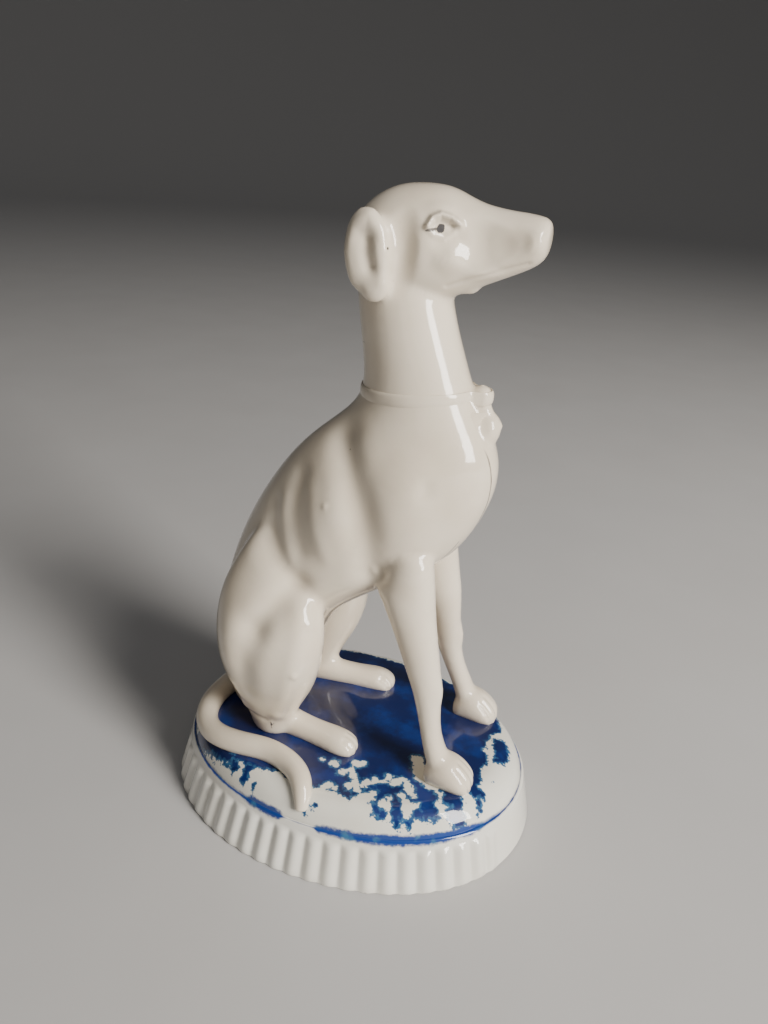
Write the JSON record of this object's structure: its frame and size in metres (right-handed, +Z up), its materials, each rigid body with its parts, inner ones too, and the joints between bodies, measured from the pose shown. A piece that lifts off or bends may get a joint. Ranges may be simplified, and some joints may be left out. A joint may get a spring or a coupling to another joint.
{
  "type": "ceramic dog figurine",
  "caption": "Glazed earthenware greyhound figure sitting upright on an oval plinth with a reeded wall and a blue-painted ground.",
  "frame": {"origin": "middle of the flat rim that the plinth stands on", "axes": "+X the way the dog faces, +Y to the dog's left, +Z up"},
  "size_m": [0.084, 0.0638, 0.1271],
  "materials": {
    "glaze_cream": "glossy clear lead-type glaze over cream earthenware",
    "glaze_white": "glossy clear glaze over off-white earthenware",
    "glaze_blue_ground": "glossy underglaze cobalt blue, sponged and brushed over white",
    "biscuit": "thinly glazed, satin"
  },
  "bodies": {
    "root": {"plinth_wall": "glaze_white", "mound_top": "glaze_blue_ground", "floor_bat": "biscuit", "body_right": "glaze_cream", "body_left": "glaze_cream", "seam_roll_back": "biscuit", "seam_roll_front": "biscuit", "ear_right": "glaze_cream", "ear_left": "glaze_cream", "collar": "glaze_cream", "collar_knot": "glaze_cream", "collar_pendant": "glaze_cream", "foreleg_right": "glaze_cream", "foreleg_left": "glaze_cream", "hind_foot_right": "glaze_cream", "hind_foot_left": "glaze_cream", "tail": "glaze_cream"}
  },
  "joints": []
}
